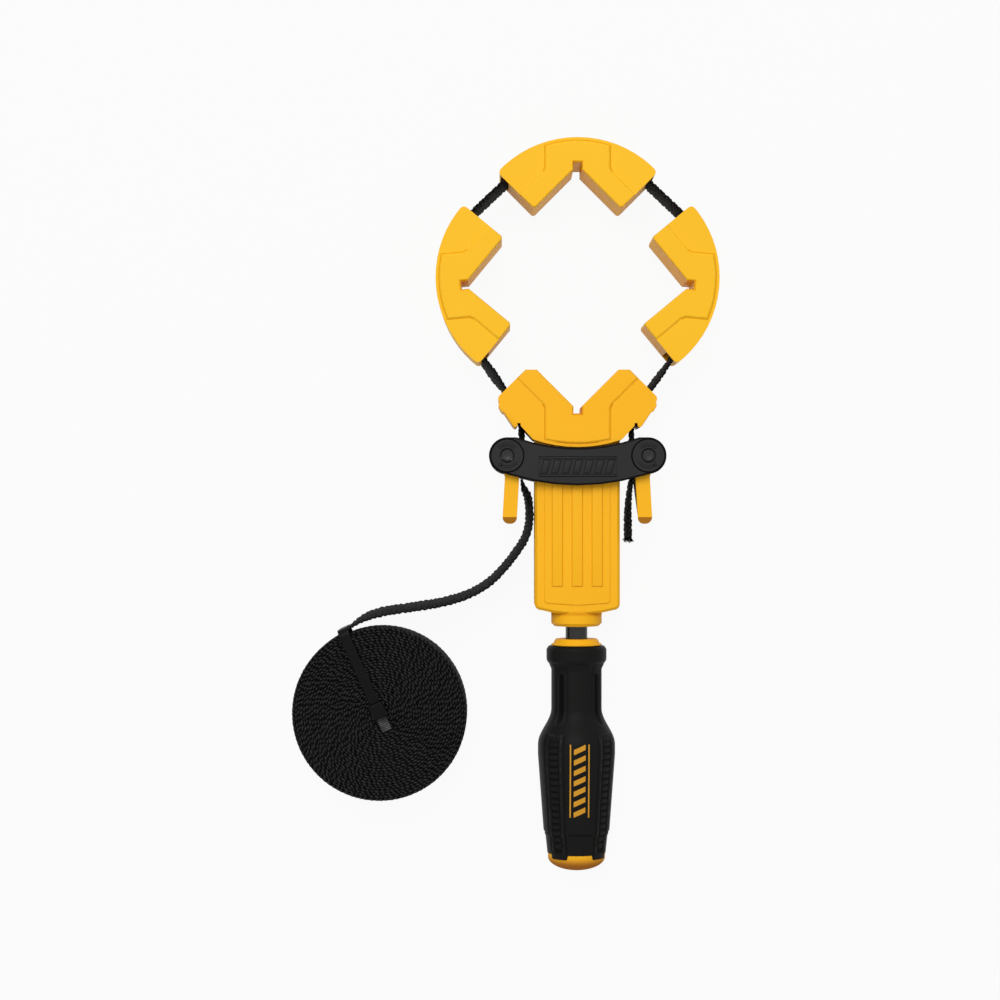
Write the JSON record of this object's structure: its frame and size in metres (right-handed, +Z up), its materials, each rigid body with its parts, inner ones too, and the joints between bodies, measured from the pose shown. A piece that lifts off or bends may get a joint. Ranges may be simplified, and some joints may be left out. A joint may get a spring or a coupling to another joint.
{
  "type": "band clamp",
  "caption": "Screw-tightened webbing band clamp with V-shaped corner jaws, a bridge with cam lock levers, a screwdriver-type handle and spare strap wound in a tied coil.",
  "frame": {"origin": "centre of the clamp's bounding box in plan, without the free strap, on the surface that it lies on", "axes": "+Y from the handle's butt to the far jaw, +Z up from the back to the front face, +X to the right as seen from the front with the handle at the bottom"},
  "size_m": [0.1974, 0.3396, 0.0371],
  "materials": {
    "yellow_plastic": "satin moulded",
    "black_plastic": "fine grained",
    "grip_rubber": "soft moulded",
    "webbing": "woven",
    "dark_steel": "black oxide",
    "steel": "zinc plated",
    "brass": "machined",
    "nylon": "natural"
  },
  "bodies": {
    "head": {"head_front_shell": "yellow_plastic", "head_rear_shell": "yellow_plastic", "shell_screw_jaw_left": "steel", "shell_screw_jaw_right": "steel", "shell_screw_foot_left": "steel", "shell_screw_foot_right": "steel", "thrust_washer_lower": "steel", "thrust_washer_upper": "steel", "spindle_top_bush": "nylon"},
    "handle": {"spindle": "dark_steel", "handle_core": "yellow_plastic", "handle_grip": "grip_rubber"},
    "bridge": {"bridge_front_plate": "black_plastic", "bridge_rear_plate": "black_plastic", "yoke": "black_plastic", "travel_nut": "brass", "pivot_pin_left": "dark_steel", "pivot_pin_right": "dark_steel", "pin_clip_left": "steel", "pin_clip_right": "steel", "strap_lock_left": "webbing", "strap_lock_right": "webbing", "strap_run": "webbing", "strap_coil": "webbing", "coil_tie": "black_plastic"},
    "left_lever": {"lock_lever_left": "yellow_plastic"},
    "right_lever": {"lock_lever_right": "yellow_plastic"},
    "left_corner": {"left_jaw": "yellow_plastic", "strap_left": "webbing"},
    "right_corner": {"right_jaw": "yellow_plastic", "strap_right": "webbing"},
    "top_corner": {"top_jaw": "yellow_plastic", "strap_top": "webbing"}
  },
  "joints": [
    {"name": "handle_spin", "type": "hinge", "parent": "head", "child": "handle", "pos_m": [0, -0.1, 0.018], "axis": [0, 1, 0], "range_deg": [0, 3600]},
    {"name": "bridge_slide", "type": "slide", "parent": "head", "child": "bridge", "axis": [0, -1, 0], "range_m": [0, 0.02]},
    {"name": "left_corner_slide", "type": "slide", "parent": "head", "child": "left_corner", "axis": [0.585, -0.811, 0], "range_m": [0, 0.01109]},
    {"name": "right_corner_slide", "type": "slide", "parent": "head", "child": "right_corner", "axis": [-0.585, -0.811, 0], "range_m": [0, 0.01109]},
    {"name": "top_corner_slide", "type": "slide", "parent": "head", "child": "top_corner", "axis": [0, -1, 0], "range_m": [0, 0.01511]},
    {"name": "left_lever_swing", "type": "hinge", "parent": "bridge", "child": "left_lever", "pos_m": [-0.0324, 0.02315, 0.018], "axis": [0, 0, -1], "range_deg": [0, 100]},
    {"name": "right_lever_swing", "type": "hinge", "parent": "bridge", "child": "right_lever", "pos_m": [0.0324, 0.02315, 0.018], "axis": [0, 0, 1], "range_deg": [0, 100]}
  ],
  "couplings": [
    {"joint": "bridge_slide", "follows": "handle_spin", "m_per_rad": 0.00031831},
    {"joint": "left_corner_slide", "follows": "handle_spin", "m_per_rad": 0.00017645},
    {"joint": "right_corner_slide", "follows": "handle_spin", "m_per_rad": 0.00017645},
    {"joint": "top_corner_slide", "follows": "handle_spin", "m_per_rad": 0.0002404}
  ]
}
